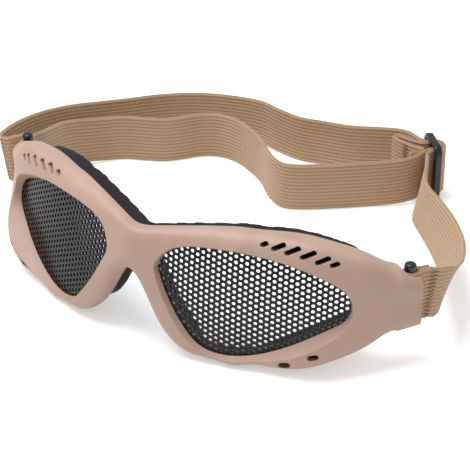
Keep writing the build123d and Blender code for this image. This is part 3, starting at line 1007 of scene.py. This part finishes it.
@dataclass
class WebbingRoute:
    """Route of the webbing, with the places of the CAD route."""

    pin_half_span: float = 85.0
    pin_setback: float = 26.0
    temple_turn: float = radians(58.0)
    slider_turn: float = radians(-44.8)
    slider_middle: Ends = (34.6, 134.8)
    slider_length: float = 17.4
    pocket_floor: float = 14.8
    wrap_radius: float = 2.3
    leg_offset: float = 0.75
    loop_length: float = 7.4
    leg_share: float = 0.62
    outer_radius: float = 4.7
    inner_radius: float = 3.0
    pass_height: float = 2.5
    width: float = 20.0
    step: float = 2.0
    wrap_angles: tuple[int, ...] = (70, 92, 114, 136, 158, 180, 202, 224, 246, 268, 290)
    pass_angles: tuple[int, ...] = (0, 20, 40, 60, 80, 100, 120, 140, 160, 180)
    side_run: Shares = (
        (0.043, -0.069, 0.69, 0.07, 0.03), (0.069, -0.078, 0.66, 0.15, 0.03),
        (0.099, -0.081, 0.635, 0.24, -0.02), (0.137, -0.08, 0.605, 0.34, -0.11),
        (0.196, -0.076, 0.55, 0.44, -0.18), (0.303, -0.07, 0.42, 0.56, -0.18),
        (0.447, -0.059, 0.26, 0.58, -0.13), (0.574, -0.028, 0.15, 0.5, -0.04),
        (0.702, 0.012, 0.07, 0.4, -0.05), (0.779, 0.038, 0.04, 0.31, -0.07),
        (0.833, 0.041, 0.045, 0.21, -0.04), (0.872, 0.025, 0.07, 0.09, -0.01),
    )
    rear_run: Shares = (
        (0.107, -0.132, 0.04), (0.179, -0.155, 0.025), (0.247, -0.193, 0.02), (0.3, -0.223, 0.02),
        (0.35, -0.283, 0.02), (0.385, -0.332, 0.02), (0.464, -0.377, 0.02), (0.552, -0.404, 0.02),
        (0.646, -0.404, 0.03), (0.74, -0.382, 0.06), (0.819, -0.354, 0.13), (0.885, -0.313, 0.25),
        (0.94, -0.263, 0.37), (0.981, -0.208, 0.48, -0.03, -0.02),
        (1.013, -0.154, 0.56, -0.07, -0.05), (1.038, -0.109, 0.59, -0.1, -0.08),
        (1.050, -0.076, 0.61, -0.1, -0.1), (1.045, -0.052, 0.64, -0.05, -0.07),
        (1.027, -0.049, 0.67, -0.02, -0.03), (1.009, -0.049, 0.70, 0, 0), (0.999, -0.043, 0.72, 0, 0),
    )
    front_run: Shares = (
        (0.036, 0.063, 0.68), (0.064, 0.126, 0.53), (0.091, 0.189, 0.36), (0.118, 0.236, 0.2),
        (0.152, 0.268, 0.08), (0.194, 0.283, 0.03), (0.247, 0.287, 0.02), (0.305, 0.271, 0.02),
        (0.348, 0.261, 0.02), (0.397, 0.266, 0.02), (0.444, 0.277, 0.02), (0.492, 0.27, 0.02),
        (0.534, 0.235, 0.02), (0.563, 0.178, 0.02), (0.584, 0.111, 0.02), (0.592, 0.04, 0.02),
        (0.603, -0.003, 0.02), (0.621, -0.03, 0.02), (0.659, -0.042, 0.02), (0.703, -0.046, 0.02),
        (0.761, -0.048, 0.02), (0.834, -0.048, 0.02), (0.883, -0.049, 0.03),
    )
    side_entry: Shares = (
        (0.53, -0.29, 0.10), (0.36, -0.25, 0.115), (0.262, -0.12, 0.125),
    )
    rear_exit: Shares = (
        (-0.255, -0.11, 0.125), (-0.40, -0.21, 0.12), (-0.61, -0.26, 0.10),
        (-0.86, -0.33, 0.08), (-1.08, -0.53, 0.06),
    )
    front_entry: Shares = (
        (0.40, -0.76, 0.05), (0.36, -0.52, 0.085), (0.26, -0.32, 0.11), (0.17, -0.14, 0.125),
    )
    hem: Shares = (
        (-0.17, -0.14, 0.12), (-0.29, -0.31, 0.11), (-0.50, -0.47, 0.10), (-0.68, -0.59, 0.09),
        (-0.74, -0.68, 0.09), (-0.68, -0.76, 0.09), (-0.52, -0.70, 0.09), (-0.28, -0.54, 0.09),
        (-0.08, -0.38, 0.09), (0.02, -0.27, 0.09), (0.10, -0.25, 0.09), (0.144, -0.344, 0.09),
        (0.18, -0.48, 0.09), (0.22, -0.62, 0.09),
    )

    def pin(self, side: Side) -> tuple[Vector, Vector, Vector]:
        """Axis of a pin in plan, with the directions along and out of its temple.

        Args:
            side: Temple.

        Returns:
            Place, direction along and direction out.
        """
        sign = side.value
        return (Vector((sign * self.pin_half_span, self.pin_setback)),
                Vector((sign * cos(self.temple_turn), sin(self.temple_turn))),
                Vector((sign * sin(self.temple_turn), -cos(self.temple_turn))))

    def leg(self, side: Side, behind: float, shift: float) -> Row:
        """Row in the mouth of a pocket.

        Args:
            side: Temple.
            behind: Distance behind the pin axis.
            shift: Distance out of the temple.

        Returns:
            Place in plan, height of the lower edge, and lean.
        """
        place, along, out = self.pin(side)
        return place + along * behind + out * shift, self.pocket_floor, UPRIGHT

    def wrap(self, side: Side, way: int) -> list[Row]:
        """Rows round a pin.

        Args:
            side: Temple.
            way: 1 from the outer leg, -1 from the inner one.

        Returns:
            The rows in order.
        """
        place, along, out = self.pin(side)
        rows = []
        for angle in self.wrap_angles:
            turn = radians(angle)
            spot = place + along * (self.wrap_radius * cos(turn)) + out * (way * self.wrap_radius * sin(turn))
            rows.append((spot, self.pocket_floor, UPRIGHT))
        return rows

    def spanned(self, shares: Shares, start: Vector, end: Vector) -> list[Row]:
        """Rows between two places.

        Args:
            shares: Shares along and beside the span, then of the width.
            start: Place that the span starts at.
            end: Place that it ends at.

        Returns:
            The rows in order.
        """
        span = end - start
        beside = Vector((-span.y, span.x))
        rows = []
        for along, side, height, *lean in shares:
            shift = Vector(lean or (0, 0)) * self.width
            rows.append((start + span * along + beside * side, height * self.width, shift))
        return rows

    def at_slider(self, along: float, out: float) -> Vector:
        """Place in plan beside the slider.

        Args:
            along: Distance towards the slider's near end.
            out: Distance out of its far face.

        Returns:
            The place.
        """
        turn = self.slider_turn
        return (Vector(self.slider_middle) + Vector((cos(turn), sin(turn))) * along
                + Vector((-sin(turn), cos(turn))) * out)

    def beside_slider(self, shares: Shares) -> list[Row]:
        """Rows beside the slider, from shares of its length and of the width."""
        size = self.slider_length
        return [(self.at_slider(a * size, n * size), h * self.width, UPRIGHT) for a, n, h in shares]

    def over_bar(self, radius: float) -> list[Row]:
        """Rows folded over the middle bar at a radius."""
        rows = []
        for angle in self.pass_angles:
            turn = radians(angle)
            place = self.at_slider(radius * cos(turn), radius * sin(turn))
            rows.append((place, self.pass_height, UPRIGHT))
        return rows

    def rows(self) -> list[Row]:
        """Rows of the whole route, from the sewn loop on the right-hand pin to the hem."""
        right, left = self.pin(Side.RIGHT)[0], self.pin(Side.LEFT)[0]
        middle = Vector(self.slider_middle)
        near = self.loop_length * self.leg_share
        gap = self.leg_offset
        return (
            [self.leg(Side.RIGHT, self.loop_length, -gap), self.leg(Side.RIGHT, near, -gap)]
            + self.wrap(Side.RIGHT, -1)
            + [self.leg(Side.RIGHT, near, gap), self.leg(Side.RIGHT, self.loop_length, gap)]
            + self.spanned(self.side_run, right, middle) + self.beside_slider(self.side_entry)
            + self.over_bar(self.outer_radius) + self.beside_slider(self.rear_exit)
            + self.spanned(self.rear_run, middle, left) + [self.leg(Side.LEFT, near, gap)]
            + self.wrap(Side.LEFT, 1) + [self.leg(Side.LEFT, near, -gap)]
            + self.spanned(self.front_run, left, middle) + self.beside_slider(self.front_entry)
            + self.over_bar(self.inner_radius) + self.beside_slider(self.hem)
        )

    def line(self) -> list[tuple[Vector, Vector]]:
        """Lower edge and lean at every drawn section.

        Returns:
            Pairs of the lower edge's point and the lean, smooth between the rows.
        """
        marks = [(Vector((p.x, p.y, h)), lean) for p, h, lean in self.rows()]
        steps = [(marks[i + 1][0] - marks[i][0]).length for i in range(len(marks) - 1)]
        steps = [steps[0], *steps, steps[-1]]
        slopes = []
        for i in range(len(marks)):
            before, after = marks[max(i - 1, 0)], marks[min(i + 1, len(marks) - 1)]
            span = steps[i] * (i > 0) + steps[i + 1] * (i < len(marks) - 1)
            slopes.append([(after[k] - before[k]) / span for k in (0, 1)])
        result = [marks[0]]
        for i in range(len(marks) - 1):
            step = steps[i + 1]
            count = max(1, round(step / self.step))
            for j in range(1, count + 1):
                t = j / count
                ease = t * t * (3 - 2 * t)
                leave, arrive = t * (1 - t) * (1 - t) * step, t * t * (t - 1) * step
                result.append(tuple(marks[i][k] * (1 - ease) + marks[i + 1][k] * ease
                                    + slopes[i][k] * leave + slopes[i + 1][k] * arrive for k in (0, 1)))
        return result


@dataclass
class Stitch:
    """One zigzag seam across the webbing."""

    name: str
    body: Body
    mark: float
    from_end: bool
    lean: float
    swing: float = 1.1
    pitch: float = 1.5


@dataclass
class Strap:
    """Ribbed webbing along its route, and its seams."""

    route: WebbingRoute
    ribs: int = 13
    rib_points: int = 5
    rib_depth: float = 0.13
    thickness: float = 1.4
    flat: Ends = (0.020, 0.670)
    thread: float = 0.2
    edge_level: float = 0.62
    edge_rise: float = 0.9
    seam_margin: float = 0.03
    crease: float = radians(60)
    blend_way: Ends = (0.42, 0.908)
    blend_origin: Ends = (0.0, 0.060)
    blend_from: float = 0.045
    blend_to: float = 0.072
    seams: tuple[Stitch, ...] = (
        Stitch("stitching_right", Body.GOGGLES, 21.4, False, 2.2),
        Stitch("stitching_left", Body.GOGGLES, 376.6, False, 0.0),
        Stitch("stitching_hem", Body.SLIDER, 15.6, True, 0.0),
    )

    def sections(self) -> list[Section]:
        """Lower edge, upper edge, direction out of the face and distance run, for each section."""
        line = self.route.line()
        result, run = [], 0.0
        for i, (low, lean) in enumerate(line):
            ahead = line[min(i + 1, len(line) - 1)][0] - line[max(i - 1, 0)][0]
            half = Vector((-ahead.y, ahead.x, 0)).normalized()
            lift = sqrt(self.route.width ** 2 - lean.length ** 2)
            high = low + Vector((lean.x, lean.y, lift))
            run += (low - line[i - 1][0]).length if i else 0.0
            result.append((low, high, half, run))
        return result

    def profile(self) -> list[Ends]:
        """Closed cross-section: share of the width, and share of the half thickness with its side."""
        count = self.ribs * self.rib_points
        top = []
        for i in range(count + 1):
            share = i / count
            groove = 0.5 + 0.5 * cos(2 * pi * share * self.ribs)
            depth = 1 - groove * 2 * self.rib_depth / self.thickness
            ends = min(share, 1 - share) * self.ribs
            top.append((share, depth * min(1.0, self.edge_level + self.edge_rise * ends)))
        return top + [(share, -depth) for share, depth in reversed(top)]

    def build(self, webbing: Material) -> None:
        """Make the webbing.

        Args:
            webbing: Finish of the webbing.
        """
        profile = self.profile()
        sections = self.sections()
        half = self.thickness / 2
        points, places = [], []
        for low, high, out, run in sections:
            for share, level in profile:
                points.append((low.lerp(high, share) + out * (level * half)) * MM)
                places.append((run * MM, share))
        piece = mesh_piece("elastic_strap_webbing", points, tube_faces(len(sections), len(profile)))
        spread = piece.data.uv_layers.new(name="webbing")
        for loop in piece.data.loops:
            spread.data[loop.index].uv = places[loop.vertex_index]
        weld(piece)
        bpy.ops.object.shade_smooth_by_angle(angle=self.crease)
        dress(piece, webbing, None)
        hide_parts("elastic_strap")
        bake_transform(piece)

    def sew(self, thread: Material) -> None:
        """Make the zigzag seams.

        Args:
            thread: Finish of the thread.
        """
        sections = self.sections()
        total = sections[-1][3]
        for seam in self.seams:
            mark = total - seam.mark if seam.from_end else seam.mark
            count = floor(self.route.width / seam.pitch)
            points = []
            for i in range(2 * count + 1):
                share = self.seam_margin + (1 - 2 * self.seam_margin) * i / (2 * count)
                run = mark + seam.lean * share + seam.swing * (1 if i % 2 else -1)
                points.append(self.on_face(sections, run, share))
            curve = bpy.data.curves.new(seam.name, "CURVE")
            curve.dimensions = "3D"
            curve.bevel_depth = self.thread * MM
            curve.bevel_resolution = 2
            spline = curve.splines.new("POLY")
            spline.points.add(len(points) - 1)
            for spot, place in zip(spline.points, points):
                spot.co = (*(place * MM), 1.0)
            take(linked(seam.name, curve))
            bpy.ops.object.convert(target="MESH")
            piece = bpy.context.active_object
            bpy.ops.object.shade_smooth()
            dress(piece, thread, seam.body)

    def on_face(self, sections: list[Section], run: float, share: float) -> Vector:
        """Point on the outer face of the webbing, on the right of its run.

        Args:
            sections: Sections of the webbing.
            run: Distance along the webbing.
            share: Share of the width, from the lower edge.

        Returns:
            The point, in millimetres.
        """
        i = next(k for k in range(1, len(sections)) if sections[k][3] >= run or k == len(sections) - 1)
        before, after = sections[i - 1], sections[i]
        t = (run - before[3]) / max(after[3] - before[3], 1e-9)
        low, high = before[0].lerp(after[0], t), before[1].lerp(after[1], t)
        out = before[2].lerp(after[2], t).normalized()
        return low.lerp(high, share) - out * (self.thickness / 2)


@dataclass
class Studio:
    """Plain pale floor, soft light, and the camera of the photograph."""

    camera_place: Spot = (0.3039, -0.3902, 0.3178)
    camera_turn: Spot = (radians(60.0), 0.0, radians(34.94))
    camera_lens: float = 124.25
    clip_start: float = 0.01
    floor_size: float = 6.0
    floor_colour: Colour = (0.9, 0.9, 0.9, 1.0)
    floor_rough: float = 0.9
    floor_glow: float = 0.4
    aim: Spot = (0.0, 0.04, 0.02)
    key_place: Spot = (-0.25, -0.10, 0.95)
    key_size: float = 0.7
    key_power: float = 8.4
    sky: float = 0.55

    def camera(self) -> None:
        """Add the camera."""
        clear_selection()
        bpy.ops.object.camera_add(location=self.camera_place, rotation=self.camera_turn)
        camera = bpy.context.active_object
        camera.name = "photo_camera"
        camera.data.lens = self.camera_lens
        camera.data.clip_start = self.clip_start
        bpy.context.scene.camera = camera

    def floor(self) -> None:
        """Add the floor, white to the camera and still shaded by the object."""
        clear_selection()
        bpy.ops.mesh.primitive_plane_add(size=self.floor_size)
        ground = new_piece("studio_floor")
        paper = Finish("studio_paper")
        shown = paper.sheet.seen_by("Is Camera Ray", "Is Glossy Ray")
        paper.surface(Base_Color=self.floor_colour, Roughness=self.floor_rough, Emission_Color=WHITE,
                      Emission_Strength=paper.sheet.math("MULTIPLY", shown, self.floor_glow))
        ground.data.materials.append(paper.material)

    def lights(self) -> None:
        """Add the lamp and the world."""
        clear_selection()
        bpy.ops.object.light_add(type="AREA", location=self.key_place)
        key = bpy.context.active_object
        key.name = "soft_key"
        key.data.shape = "DISK"
        key.data.size = self.key_size
        key.data.energy = self.key_power
        aim = Vector(self.aim) - Vector(self.key_place)
        key.rotation_euler = aim.to_track_quat("-Z", "Y").to_euler()
        world = bpy.data.worlds.new("studio_sky")
        bpy.context.scene.world = world
        world.use_nodes = True
        sheet = NodeSheet(world.node_tree)
        shown = sheet.seen_by("Is Camera Ray", "Is Transmission Ray")
        background = world.node_tree.nodes["Background"]
        sheet.fill(background.inputs["Color"], WHITE)
        sheet.fill(background.inputs["Strength"], sheet.span(shown, start=self.sky))

    def build(self) -> None:
        """Set up the view and everything round the object."""
        bpy.context.scene.view_settings.view_transform = "Standard"
        self.camera()
        self.floor()
        self.lights()
        LOG.info("studio: ready")


def main() -> None:
    """Build every sub-assembly in order."""
    logging.basicConfig(level=logging.INFO, format="%(name)s: %(message)s")
    Studio().build()
    effects = Effects()
    MouldedParts().finish(MouldedPlastic().build(effects), GlossPlastic().build(effects))
    PerforatedLenses(LensPlace()).build(PaintedSteel().build(effects))
    FoamPad().build(CutFoam().build(effects), LensPlace())
    strap = Strap(WebbingRoute())
    strap.build(ElasticWebbing(ribs=strap.ribs).build(effects))
    strap.sew(SewingThread().build(effects))


if __name__ == "__main__":
    main()
